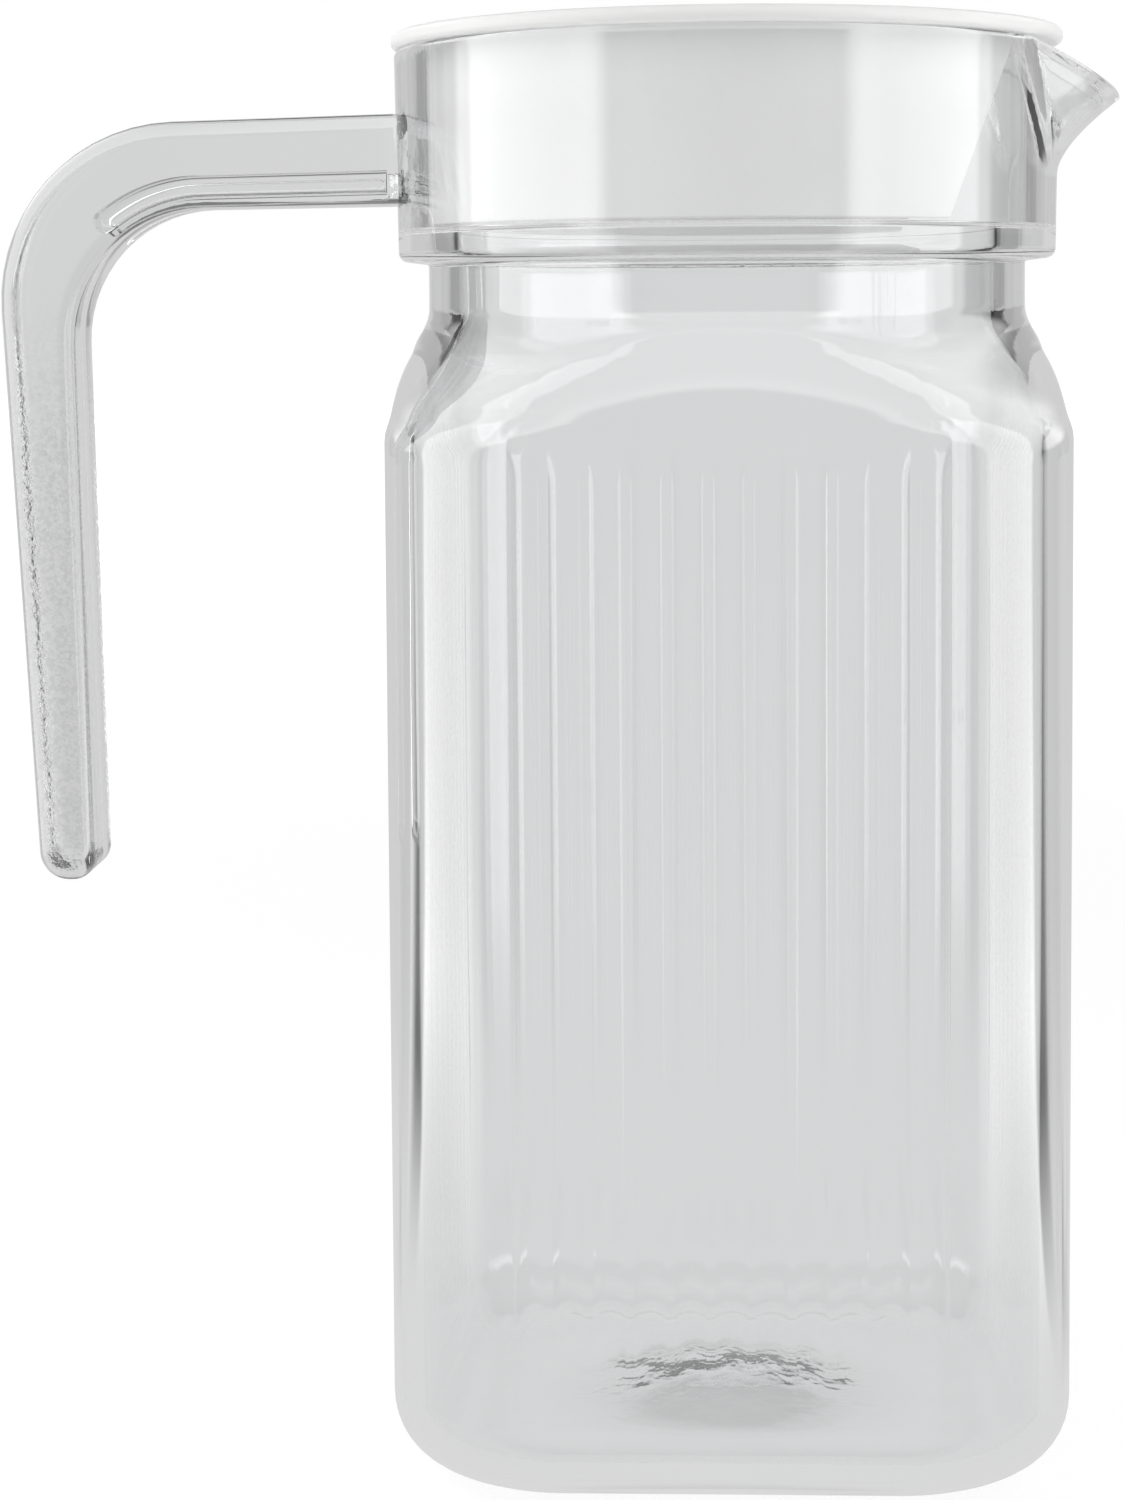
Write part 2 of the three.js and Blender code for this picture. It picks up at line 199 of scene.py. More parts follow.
path = air.node("ShaderNodeLightPath", {}, {})
to_camera = path.also("Is Camera Ray")
scattered = path.also("Is Diffuse Ray")
direction = air.node("ShaderNodeTexCoord", {}, {}, "Generated")
right = air.node("ShaderNodeSeparateXYZ", {}, {0: direction})
back = right.also("Y")
up = right.also("Z")

from_far_wall = path.math("GREATER_THAN", path.also("Ray Depth"), FAR_WALL_DEPTH)
walls = light_walls(right, back) * (1 - from_far_wall * up.smooth(*FAR_WALL_TOP))
dim = DIM_SHARE * sides(right, back, *DIM_SIDES)
shaded = dim.math("MAXIMUM", dim, sides(right, back, *DARK_SIDES)) * reflected(path)
shaded = shaded.math("MAXIMUM", shaded, CEILING_SHARE * up.smooth(*CEILING_FOOT))
first = path.math("LESS_THAN", path.also("Ray Depth"), FIRST_DEPTH)
mirrored = path.also("Is Glossy Ray") * (1 - path.also("Is Transmission Ray")) * first
panel = up.smooth(*PANEL_FOOT) * frontness(right, back).smooth(*PANEL_BACK) * LIGHT_PANEL
plain = behind(right, back) * (1 - shaded) + SIDE_SHADE * shaded
plain = plain + mirrored * panel * (1 - walls)
in_plastic = plain + reflected_once(path) * walls * LIGHT_WALL
strength = to_camera + (1 - to_camera) * (1 - scattered) * in_plastic + scattered * FILL
glow = air.node("ShaderNodeBackground", {}, {"Color": (1, 1, 1, 1), "Strength": strength})
air.node("ShaderNodeOutputWorld", {}, {"Surface": glow})


# Floor: a wide white sheet. To the camera it shines white, and in the plastic its glow shows
# painted tones of the studio round it: a painted reflection of the light walls, painted dark
# sides and a painted shadow under the base. A share of real light keeps the jug's soft shadow.
FLOOR_SIZE = 12
FLOOR_DROP = 0.0002  # below the jug's foot
FLOOR_SHINE = 0.76  # near the jug
FLOOR_WHITE = (0.2, 1.6)  # distances over which that grows to full white
FLOOR_LIT = 0.3
FLOOR_TONE = 0.9
FLOOR_LIGHT = 2.4  # the light walls, painted into the floor's glow as a reflection
FLOOR_LIGHT_START = (0.08, 0.42)
# painted shade: the floor's glow goes dark towards the studio's sides
FLOOR_SIDES = (0.42, 0.6)  # headings, as for the air
FLOOR_SIDES_START = (0.08, 0.3)
FLOOR_SHEET_START = (0.15, 0.5)
# painted shadow in the floor's glow, under the hollow of the base
UNDER_SHADE = 0.12  # under the hollow of the base
UNDER_EDGE = (0.012, 0.03)


def blank_material(name):
    """A new material with an empty node tree, and a wire to build it with."""
    made = bpy.data.materials.new(name)
    made.use_nodes = True
    made.node_tree.nodes.clear()
    return made, Wire(made.node_tree)


jug_axis = (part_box("lid")[0].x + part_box("lid")[1].x) / 2
edge = FLOOR_SIZE / 2
floor_shape = bpy.data.meshes.new("floor")
floor_shape.from_pydata(
    [(-edge, -edge, 0), (edge, -edge, 0), (edge, edge, 0), (-edge, edge, 0)],
    [],
    [(0, 1, 2, 3)],
)
floor = bpy.data.objects.new("floor", floor_shape)
scene.collection.objects.link(floor)
floor.location.z = -FLOOR_DROP
paper, sheet = blank_material("white_sheet")
path = sheet.node("ShaderNodeLightPath", {}, {})
to_camera = path.also("Is Camera Ray")
scattered = path.also("Is Diffuse Ray")
spot = sheet.node("ShaderNodeTexCoord", {}, {}, "Object")
distance = sheet.node("ShaderNodeVectorMath", {"operation": "LENGTH"}, {0: spot}, "Value")
spot = sheet.node("ShaderNodeSeparateXYZ", {}, {0: spot})
right = spot - jug_axis
back = spot.also("Y")
white = FLOOR_SHINE + (1 - FLOOR_SHINE) * distance.smooth(*FLOOR_WHITE)
# painted reflection of the light walls in the floor's glow, for rays mirrored once in the
# plastic
walls = light_walls(right, back) * distance.smooth(*FLOOR_LIGHT_START) * FLOOR_LIGHT
# painted dark sides in the floor's glow, for rays mirrored in the plastic
aside = sides(right, back, *FLOOR_SIDES) * distance.smooth(*FLOOR_SIDES_START)
aside = aside * reflected(path)
# painted shadow under the base, in the floor's glow as the plastic shows it
painted_shadow_under_base = 1 - ((right * right + back * back) ** 0.5).smooth(*UNDER_EDGE)
tone = BACKDROP + (behind(right, back) - BACKDROP) * distance.smooth(*FLOOR_SHEET_START)
plain = (tone - (tone - SIDE_SHADE) * aside) * (1 - UNDER_SHADE * painted_shadow_under_base)
shine = to_camera * white + (1 - scattered - to_camera) * plain
shine = shine + reflected_once(path) * walls
lit = (to_camera * FLOOR_LIT + scattered) * FLOOR_TONE
lit = sheet.node("ShaderNodeCombineColor", {}, {0: lit, 1: lit, 2: lit})
matte = sheet.node("ShaderNodeBsdfDiffuse", {}, {"Color": lit})
shine = sheet.node("ShaderNodeEmission", {}, {"Strength": shine})
both = sheet.node("ShaderNodeAddShader", {}, {0: matte, 1: shine})
sheet.node("ShaderNodeOutputMaterial", {}, {"Surface": both})
floor_shape.materials.append(paper)


# Two softboxes, left and right of the jug and a little in front of it, where the light
# walls stand. They light what is matte and cast the shadow.
SOFTBOX_RADIANCE = 2.3
SOFTBOX_TALL = 0.9
SOFTBOX_AWAY = 0.7
SOFTBOX_HEIGHT = 0.5
SOFTBOX_AIM = 0.3  # the height that they point at
# name, degrees round from the front and width
for name, turn, width in (("left_softbox", -79.5, 1.0), ("right_softbox", 71, 0.82)):
    lamp = bpy.data.lights.new(name, "AREA")
    lamp.shape = "RECTANGLE"
    lamp.size = width
    lamp.size_y = SOFTBOX_TALL
    lamp.energy = pi * width * SOFTBOX_TALL * SOFTBOX_RADIANCE
    softbox = bpy.data.objects.new(name, lamp)
    scene.collection.objects.link(softbox)
    to_right = SOFTBOX_AWAY * sin(radians(turn))
    to_front = SOFTBOX_AWAY * cos(radians(turn))
    softbox.location = (jug_axis + to_right, -to_front, SOFTBOX_HEIGHT)
    aim = Vector((jug_axis, 0, SOFTBOX_AIM)) - softbox.location
    softbox.rotation_euler = aim.to_track_quat("-Z", "Y").to_euler()
    softbox.visible_glossy = False
    softbox.visible_transmission = False


# Jug: vessel, neck, collar, spout and handle are one clear acrylic moulding. Geometry
# Nodes sweep its wall round the axis from a profile of rows; shoulder, flutes and spout
# follow rules. The handle is extruded from its side outline and fused on.
BODY_CORNER = 0.019
WALL = 0.004
BASE_EDGE = 0.0118
PUSH_UP_RADIUS = 0.023
PUSH_UP_HEIGHT = 0.0028
SHOULDER_HEIGHT = 0.02
SHOULDER_EDGE = 0.008  # how far dome and faces blend
DOME_DROP = 0.0018  # from the shoulder's foot to the dome's
DOME_MARGIN = 0.001  # past the body's corners
DOME_EASE_IN = 4  # how fast the blend grows at the dome's foot
DOME_EASE_OUT = 5  # and goes at its top
NECK_LINE = 0.00003  # how far the moulding line round the foot of the neck stands out
NECK_LINE_LOW = 0.0003  # above that foot
NECK_LINE_TOP = 0.0007
NECK_HEIGHT = 0.006
COLLAR_DRAFT = 0.0004
COLLAR_WALL = 0.0043
COLLAR_OVERHANG = 0.0042
COLLAR_CHAMFER = 0.0003
COLLAR_EDGE = 0.0014
COLLAR_ROOT = 0.0004  # rounding between the neck and the collar's underside
COLLAR_ROOT_GAP = 0.0003  # from that rounding to the row below it
LEDGE_RISE = 0.0045
LEDGE_ROUND = 0.0004
RIM_ROUND = 0.001
RIM_RISE = 0.0007  # the rim stands closer under the lid's thin edge than in the CAD
FLUTES_PER_FACE = 11
FLUTE_PITCH = 0.00527
FLUTE_WIDTH = 0.0042
FLUTE_DEPTH = 0.0006  # the deepest; they come out uneven
FLUTE_LEAST = 0.72  # the shallowest, as a share of that
BACK_FLUTE_DEPTH = 0.0004
SIDE_FLUTE_DEPTH = 0.0001
FLUTE_RUN_OUT = 0.007  # where a flute grows shallow, at its top
FLUTE_LONG_RUN_OUT = 0.03  # and at its foot; on the other faces at both ends
FLUTE_START = 0.016
FLUTE_OVERRUN = 0.0042
FLUTE_COLUMNS = (0.02, 0.06)  # shares of the pitch in from a flute's edge
FLUTE_MIDDLE_COLUMNS = (0.26, 0.4)  # and from its cell's edge
CORNER_COLUMNS = 18
SPOUT_DEPTH = 0.0177
SPOUT_WALL = 0.0029
SPOUT_DROP = 0.0064
SPOUT_HALF_ANGLE = 27  # degrees, at the rim
SPOUT_FOOT_ANGLE = 12
SPOUT_RIDGE = 0.45  # how round the ridge is
SPOUT_SWELL = 1.6  # how late the beak comes forward
BELOW_SPOUT = 0.003  # from the spout's foot to the row below it
BELOW_SPOUT_DRAFT = 0.0001  # how far that row stands out
MERGE = 1e-6  # points closer than this are one
HAIR = 1e-5  # a height too small to see
SHARP_BEND = 32  # degrees, past which an edge stays sharp

vessel_low, vessel_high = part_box("vessel")
collar_low, collar_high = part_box("pouring_collar")
body_half = (vessel_high.y - vessel_low.y) / 2
neck_foot = vessel_high.z
body_height = neck_foot - SHOULDER_HEIGHT
rim = collar_high.z + RIM_RISE
collar_radius = (collar_high.y - collar_low.y) / 2
collar_bottom = neck_foot + NECK_HEIGHT
collar_bore = collar_radius - COLLAR_WALL
collar_low_radius = collar_radius - COLLAR_DRAFT
neck_radius = collar_low_radius - COLLAR_OVERHANG
neck_bore = neck_radius - WALL
ledge = collar_bottom + LEDGE_RISE
spout_foot = rim - SPOUT_DEPTH
flute_top = body_height + FLUTE_OVERRUN


def spread(start, end, steps):
    """Evenly spaced values from start to end, both included."""
    return [start + (end - start) * i / steps for i in range(steps + 1)]


def arc(middle, height, radius, start, end, steps):
    """Points of an arc in the profile, from one angle to another in degrees."""
    return [
        (middle + radius * cos(radians(a)), height + radius * sin(radians(a)))
        for a in spread(start, end, steps)
    ]


# a row is a half width, a corner radius and a height
def wall_rows(heights, inset):
    """The square wall at some heights, outside or inset by the wall."""
    return [(body_half - inset, BODY_CORNER - inset, height) for height in heights]


def push_up_rows(base):
    """The hollow under the base, from its middle to its edge."""
    return [
        (PUSH_UP_RADIUS * s, PUSH_UP_RADIUS * s, base + PUSH_UP_HEIGHT * (1 + cos(pi * s)) / 2)
        for s in spread(0, 1, steps=8)
    ]


def base_edge_rows(inset):
    """The rolled edge of the base, outside or inset by the wall."""
    radius = BASE_EDGE - inset
    half = body_half - inset
    return [
        (width, (BODY_CORNER - inset) * width / half, height)
        for width, height in arc(half - radius, BASE_EDGE, radius, -90, 0, steps=12)
    ]


def round_rows(points):
    """Round rows through points of a radius and a height."""
    return [(radius, radius, height) for radius, height in points]


wall_heights = [
    *spread(BASE_EDGE, FLUTE_START, steps=3)[1:],
    *spread(FLUTE_START, FLUTE_START + FLUTE_LONG_RUN_OUT, steps=9)[1:],
    *spread(FLUTE_START + FLUTE_LONG_RUN_OUT, flute_top - FLUTE_LONG_RUN_OUT, steps=2)[1:],
    *spread(flute_top - FLUTE_LONG_RUN_OUT, flute_top - FLUTE_RUN_OUT, steps=5)[1:],
    *spread(flute_top - FLUTE_RUN_OUT, flute_top, steps=7)[1:],
    *spread(flute_top, neck_foot, steps=20)[1:],
]
neck_line = [
    (neck_radius + NECK_LINE, neck_foot + NECK_LINE_LOW),
    (neck_radius, neck_foot + NECK_LINE_TOP),
]
root = collar_bottom - COLLAR_ROOT
skirt = collar_bottom + COLLAR_CHAMFER + COLLAR_EDGE
collar_outside = [
    (neck_radius, root - COLLAR_ROOT_GAP),
    *arc(neck_radius + COLLAR_ROOT, root, COLLAR_ROOT, 180, 105, steps=6),
    *arc(collar_low_radius - COLLAR_EDGE, skirt, COLLAR_EDGE, -75, 0, steps=6),
    (collar_low_radius + BELOW_SPOUT_DRAFT, spout_foot - BELOW_SPOUT),
    *[
        (collar_radius - COLLAR_DRAFT * (rim - z) / (rim - collar_bottom), z)
        for z in spread(spout_foot, rim - 2 * RIM_ROUND, steps=13)
    ],
]
outside = [
    *push_up_rows(0),
    *base_edge_rows(0),
    *wall_rows(wall_heights, 0),
    *round_rows(neck_line + collar_outside),
]
inner_round = RIM_ROUND / 2
rim_rows = round_rows(
    [
        *arc(collar_radius - RIM_ROUND, rim - RIM_ROUND, RIM_ROUND, 0, 90, steps=5),
        *arc(collar_bore + inner_round, rim - inner_round, inner_round, 90, 180, steps=4),
    ]
)
collar_inside = [
    *[(collar_bore, z) for z in spread(rim - 2 * RIM_ROUND, spout_foot, steps=10)],
    *arc(collar_bore - LEDGE_ROUND, ledge + LEDGE_ROUND, LEDGE_ROUND, 0, -90, steps=3),
    *arc(neck_bore + LEDGE_ROUND, ledge - LEDGE_ROUND, LEDGE_ROUND, 90, 180, steps=3),
]
inside = [
    *round_rows(collar_inside),
    *wall_rows(spread(neck_foot, body_height, steps=20), WALL),
    *reversed(base_edge_rows(WALL)),
    *reversed(push_up_rows(WALL)),
]
rows = outside + rim_rows + inside

# columns follow the flutes: eleven to a flute, close together at its edges
rise = (FLUTE_PITCH - FLUTE_WIDTH) / 2 / FLUTE_PITCH
marks = [0, rise, *[rise + share for share in FLUTE_COLUMNS], *FLUTE_MIDDLE_COLUMNS]
marks += [1 - mark for mark in reversed(marks[1:])]
edge_of_flutes = FLUTES_PER_FACE / 2 * FLUTE_PITCH
last = atan2(edge_of_flutes, body_half)
columns = []
for face_turn in (0, pi / 2, pi, 3 * pi / 2):
    for flute in range(FLUTES_PER_FACE):
        for mark in marks:
            aside = (flute + mark) * FLUTE_PITCH - edge_of_flutes
            columns.append(face_turn + atan2(aside, body_half))
    columns += [face_turn + a for a in spread(last, pi / 2 - last, CORNER_COLUMNS)[:-1]]
columns.append(columns[0] + 2 * pi)
profile = bpy.data.meshes.new("jug_profile")
profile.from_pydata(rows + [(a, 0, 0) for a in columns], [], [])
jug = bpy.data.objects.new("jug", profile)
scene.collection.objects.link(jug)

acrylic, mould = blank_material("clear_acrylic")
sweep = bpy.data.node_groups.new("sweep_square_to_round", "GeometryNodeTree")
sweep.interface.new_socket("Wall", in_out="OUTPUT", socket_type="NodeSocketGeometry")
sweep.interface.new_socket("Profile", in_out="INPUT", socket_type="NodeSocketGeometry")
wall_sizes = {
    "Columns": len(columns),
    "Rows": len(rows),
    "Rows outside": len(outside),
    "Axis": jug_axis,
    "Body half": body_half,
    "Body corner": BODY_CORNER,
    "Dome foot": body_height - DOME_DROP,
    "Dome margin": DOME_MARGIN,
    "Wall thickness": WALL,
    "Neck foot": neck_foot,
    "Neck radius": neck_radius,
    "Shoulder edge": SHOULDER_EDGE,
    "Flutes per face": float(FLUTES_PER_FACE),
    "Flute pitch": FLUTE_PITCH,
    "Flute width": FLUTE_WIDTH,
    "Flute depth": FLUTE_DEPTH,
    "Flute least": FLUTE_LEAST,
    "Back flute depth": BACK_FLUTE_DEPTH,
    "Side flute depth": SIDE_FLUTE_DEPTH,
    "Flute foot": FLUTE_START,
    "Flute top": flute_top,
    "Flute run-out": FLUTE_RUN_OUT,
    "Flute long run-out": FLUTE_LONG_RUN_OUT,
    "Rim": rim - RIM_ROUND,
    "Rim radius": collar_radius,
    "Collar wall": COLLAR_WALL,
    "Spout foot": spout_foot,
    "Spout reach": collar_high.x - jug_axis,
    "Spout wall": SPOUT_WALL,
    "Spout drop": SPOUT_DROP,
    "Spout half angle": radians(SPOUT_HALF_ANGLE),
    "Spout foot angle": radians(SPOUT_FOOT_ANGLE),
    "Spout ridge": SPOUT_RIDGE,
    "Spout swell": SPOUT_SWELL,
}
for name, value in wall_sizes.items():
    kind = "NodeSocketInt" if isinstance(value, int) else "NodeSocketFloat"
    sweep.interface.new_socket(name, in_out="INPUT", socket_type=kind)
given = Wire(sweep).node("NodeGroupInput", {}, {}, "Profile")
grid = given.node(
    "GeometryNodeMeshGrid",
    {},
    {
        "Size X": 1.0,
        "Size Y": 1.0,
        "Vertices X": given.also("Columns"),
        "Vertices Y": given.also("Rows"),
    },
)
on_grid = given.node("GeometryNodeInputPosition", {}, {})
on_grid = given.node("ShaderNodeSeparateXYZ", {}, {0: on_grid})
column = (on_grid + 0.5) * (given.also("Columns") - 1)
row = (on_grid.also("Y") + 0.5) * (given.also("Rows") - 1)
row = row.math("ROUND", row)
point = given.node("GeometryNodeInputPosition", {}, {})


def profile_point(index):
    """The X of a point of the profile; its Y and Z are the same node's other outputs."""
    sample = given.node(
        "GeometryNodeSampleIndex",
        {"data_type": "FLOAT_VECTOR", "domain": "POINT"},
        {"Geometry": given, "Value": point, "Index": index},
    )
    return given.node("ShaderNodeSeparateXYZ", {}, {0: sample})


half = profile_point(row)
corner = half.also("Y")
height = half.also("Z")
angle = profile_point(column.math("ROUND", column) + given.also("Rows"))
outer = row.math("LESS_THAN", row, given.also("Rows outside"))

# reach from the axis to the rounded square along the angle
quarter = pi / 2
face = quarter * angle.math("ROUND", angle / quarter)
turn = angle - face
ray_cos = turn.math("COSINE", turn.absolute())
ray_sin = turn.math("SINE", turn.absolute())
straight = half - corner
on_flat = half / ray_cos
skew = straight * (ray_cos - ray_sin)
on_corner = straight * (ray_cos + ray_sin) + corner.math("SQRT", corner * corner - skew * skew)
cornered = half.math("GREATER_THAN", half * ray_sin / ray_cos, straight)
reach = on_flat + cornered * (on_corner - on_flat)

# shoulder: a round dome from the corners up to the neck, which ends each face in an arch
climb = height.smooth(given.also("Dome foot"), given.also("Neck foot"))
past_corner = (given.also("Body half") - given.also("Body corner")) * 2**0.5
past_corner = past_corner + given.also("Body corner") + given.also("Dome margin")
dome = past_corner + (given.also("Neck radius") - past_corner) * climb
dome = dome - given.also("Wall thickness") * (1 - outer)
eased = climb.math("MINIMUM", climb * DOME_EASE_IN, 1.0)
eased = eased * climb.math("MINIMUM", (1 - climb) * DOME_EASE_OUT, 1.0)
blend = given.also("Shoulder edge") * eased + MERGE
below_neck = height.math("LESS_THAN", height, given.also("Neck foot") + HAIR)
reach = reach + below_neck * (reach.math("SMOOTH_MIN", reach, dome, blend) - reach)

# flutes: arcs across each face, growing shallow towards their ends
pitch = given.also("Flute pitch")
along = given.also("Body half") * turn.math("TANGENT", turn)
cell = along / pitch + given.also("Flutes per face") / 2
off_middle = (cell.math("FRACT", cell) - 0.5) * pitch * 2 / given.also("Flute width")
fluted = along.math("LESS_THAN", along.absolute(), pitch * given.also("Flutes per face") / 2)
foot = given.also("Flute foot")
top = given.also("Flute top")
on_side = face.math("COSINE", face).absolute()
on_back = face.math("MAXIMUM", face.math("SINE", face), 0.0)
long_run = given.also("Flute long run-out")
run_out = given.also("Flute run-out")
run_out = run_out + (on_side + on_back) * (long_run - run_out)
fade = height.smooth(foot, foot + long_run) * (1 - height.smooth(top - run_out, top))
dip = fade * fade.math("MAXIMUM", 1 - off_middle * off_middle, 0.0)
depth = given.also("Flute depth")
depth = depth + on_side * (given.also("Side flute depth") - depth)
depth = depth + on_back * (given.also("Back flute depth") - depth)
number = cell.math("FLOOR", cell) + 50 * face  # each flute of each face has its own
uneven = given.node(
    "FunctionNodeRandomValue",
    {"data_type": "FLOAT"},
    {2: given.also("Flute least"), 3: 1.0, "ID": number, "Seed": 0},
    1,
)
groove = depth * uneven * fluted * dip * outer

# spout: a beak that grows from the collar's wall up to the rim and dips to its lip
share = (height - given.also("Spout foot")) / (given.also("Rim") - given.also("Spout foot"))
share = share.math("MINIMUM", share.math("MAXIMUM", share, 0.0), 1.0)
foot_angle = given.also("Spout foot angle")
half_angle = given.also("Spout half angle")
swing = angle.math("ARCCOSINE", angle.math("COSINE", angle))
ridge = given.also("Spout ridge")
peak = (1 + ridge * ridge) ** 0.5


def beak(width):
    """One on the spout's ridge, falling along straight flanks to nothing at a width."""
    flank = swing.math("MINIMUM", swing / width, 1.0)
    return (peak - (flank * flank + ridge * ridge) ** 0.5) / (peak - ridge)


wall_share = (given.also("Rim radius") - half) / given.also("Collar wall")
lip = given.also("Spout reach") - given.also("Spout wall") * wall_share - half
swell = share ** given.also("Spout swell")
reach = reach + lip * swell * beak(foot_angle + (half_angle - foot_angle) * share)
drop = given.also("Spout drop") * share * beak(half_angle)
from_axis_x = reach * angle.math("COSINE", angle) - groove * face.math("COSINE", face)
from_axis_y = reach * angle.math("SINE", angle) - groove * face.math("SINE", face)
place = given.node(
    "ShaderNodeCombineXYZ",
    {},
    {0: given.also("Axis") + from_axis_x, 1: from_axis_y, 2: height - drop},
)
swept = given.node("GeometryNodeSetPosition", {}, {"Geometry": grid, "Position": place})
closed = given.node("GeometryNodeMergeByDistance", {}, {"Geometry": swept, "Distance": MERGE})
real = given.node("GeometryNodeRealizeInstances", {}, {"Geometry": closed})
clad = given.node("GeometryNodeSetMaterial", {}, {"Geometry": real, "Material": acrylic})
given.node("NodeGroupOutput", {}, {"Wall": clad})
modifier = jug.modifiers.new("sweep", "NODES")
modifier.node_group = sweep
for socket in sweep.interface.items_tree:
    if socket.in_out == "INPUT" and socket.name in wall_sizes:
        modifier[socket.identifier] = wall_sizes[socket.name]


def freeze(thing):
    """Replaces an object's data by its evaluated mesh and drops its modifiers."""
    depsgraph = bpy.context.evaluated_depsgraph_get()
    mesh = bpy.data.meshes.new_from_object(thing.evaluated_get(depsgraph))
    thing.modifiers.clear()
    thing.data = mesh
    return thing


freeze(jug)

# the handle's side outline, relative to the jug's axis
HANDLE_ROUND = 0.0024
BAR_DEPTH = 0.013  # at the bend
BAR_RISE = 0.0005  # of the underside, towards the collar
BAR_DROOP = 0.0015
OUTER_BEND = 0.025
INNER_BEND = 0.0185
TIP_BACK_ROUND = 0.0042
TIP_FRONT_ROUND = 0.0031
TIP_BACK = -0.0971
TIP_FRONT = -0.0894
BEND_BACK = -0.1026
BEND_FRONT = -0.0914
ROOT = -0.0438
POCKET_HEIGHT = 0.0034
POCKET_DEPTH = 0.004
POCKET_LIP = 0.0012
POCKET_ROUND = 0.0013
POCKET_SETBACK = 0.003  # from the root
POCKET_END = 128  # degrees round the bend
handle_low, handle_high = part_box("handle")
underside = handle_high.z - BAR_DEPTH


def rounded_outline(corners, steps):
    """Points of a closed outline through corners (x, z, radius), each rounded."""
    points = []
    for i, (x, z, radius) in enumerate(corners):
        here = Vector((x, z))
        before = (Vector(corners[i - 1][:2]) - here).normalized()
        after = (Vector(corners[(i + 1) % len(corners)][:2]) - here).normalized()
        if radius == 0:
            points.append(here)
            continue
        opening = acos(before.dot(after)) / 2
        centre = here + (before + after).normalized() * radius / sin(opening)
        start = here + before * radius / tan(opening) - centre
        end = here + after * radius / tan(opening) - centre
        bend = start.angle_signed(end)
        for step in spread(0, 1, steps):
            points.append(centre + Matrix.Rotation(-bend * step, 2) @ start)
    return points


def side_extrusion(name, points, width, rounding):
    """A side outline extruded across the jug, with rounded edges, as a mesh object."""
    drawn = bpy.data.curves.new(name, "CURVE")
    drawn.dimensions = "2D"
    drawn.fill_mode = "BOTH"
    drawn.extrude = width / 2 - rounding
    drawn.bevel_depth = rounding
    drawn.bevel_resolution = 5
    drawn.offset = -rounding
    line = drawn.splines.new("POLY")
    line.points.add(len(points) - 1)
    for target, point in zip(line.points, points):
        target.co = (*point, 0, 1)
    line.use_cyclic_u = True
    maker = bpy.data.objects.new(name, drawn)
    scene.collection.objects.link(maker)
    depsgraph = bpy.context.evaluated_depsgraph_get()
    mesh = bpy.data.meshes.new_from_object(maker.evaluated_get(depsgraph))
    mesh.transform(Matrix.Translation((jug_axis, 0, 0)) @ Matrix.Rotation(pi / 2, 4, "X"))
    bpy.data.objects.remove(maker)
    made = bpy.data.objects.new(name, mesh)
    scene.collection.objects.link(made)
    weld = made.modifiers.new("weld", "WELD")
    weld.merge_threshold = MERGE
    return freeze(made)


def combine(target, tool, operation):
    """Joins a mesh object to another or cuts it out, and removes it."""
    step = target.modifiers.new(operation.lower(), "BOOLEAN")
    step.operation = operation
    step.solver = "EXACT"
    step.object = tool
    freeze(target)
    bpy.data.objects.remove(tool)


handle_outline = rounded_outline(
    [
        (ROOT, handle_high.z, 0),
        (BEND_BACK, handle_high.z - BAR_DROOP, OUTER_BEND),
        (TIP_BACK, handle_low.z, TIP_BACK_ROUND),
        (TIP_FRONT, handle_low.z, TIP_FRONT_ROUND),
        (BEND_FRONT, underside, INNER_BEND),
        (ROOT, underside + BAR_RISE, 0),
    ],
    steps=14,
)
grip = side_extrusion("grip", handle_outline, handle_high.y - handle_low.y, HANDLE_ROUND)
centre = Vector((BEND_FRONT + INNER_BEND, underside - INNER_BEND))
near = INNER_BEND + POCKET_LIP
far = near + POCKET_HEIGHT
pocket_way = Vector((cos(radians(POCKET_END)), sin(radians(POCKET_END))))
tip = centre + pocket_way * (near + far) / 2
tip_round = arc(tip.x, tip.y, POCKET_HEIGHT / 2, POCKET_END + 180, POCKET_END, steps=10)
pocket_outline = [
    (ROOT - POCKET_SETBACK, centre.y + near + BAR_RISE),
    *arc(centre.x, centre.y, near, 90, POCKET_END, steps=12),
    *tip_round[1:-1],
    *arc(centre.x, centre.y, far, POCKET_END, 90, steps=12),
    (ROOT - POCKET_SETBACK, centre.y + far + BAR_RISE),
]
for side in (-1, 1):
    pocket = side_extrusion("pocket", pocket_outline, 2 * POCKET_DEPTH, POCKET_ROUND)
    pocket.data.transform(Matrix.Translation((0, side * handle_high.y, 0)))
    combine(grip, pocket, "DIFFERENCE")
combine(jug, grip, "UNION")


def dress(thing, material):
    """Gives a piece one material, smooth faces, and sharp edges where it bends hard."""
    thing.data.materials.clear()
    thing.data.materials.append(material)
    for polygon in thing.data.polygons:
        polygon.use_smooth = True
        polygon.material_index = 0
    thing.data.set_sharp_from_angle(angle=radians(SHARP_BEND))
    weighted = thing.modifiers.new("weighted", "WEIGHTED_NORMAL")
    weighted.keep_sharp = True
    freeze(thing)


dress(jug, acrylic)

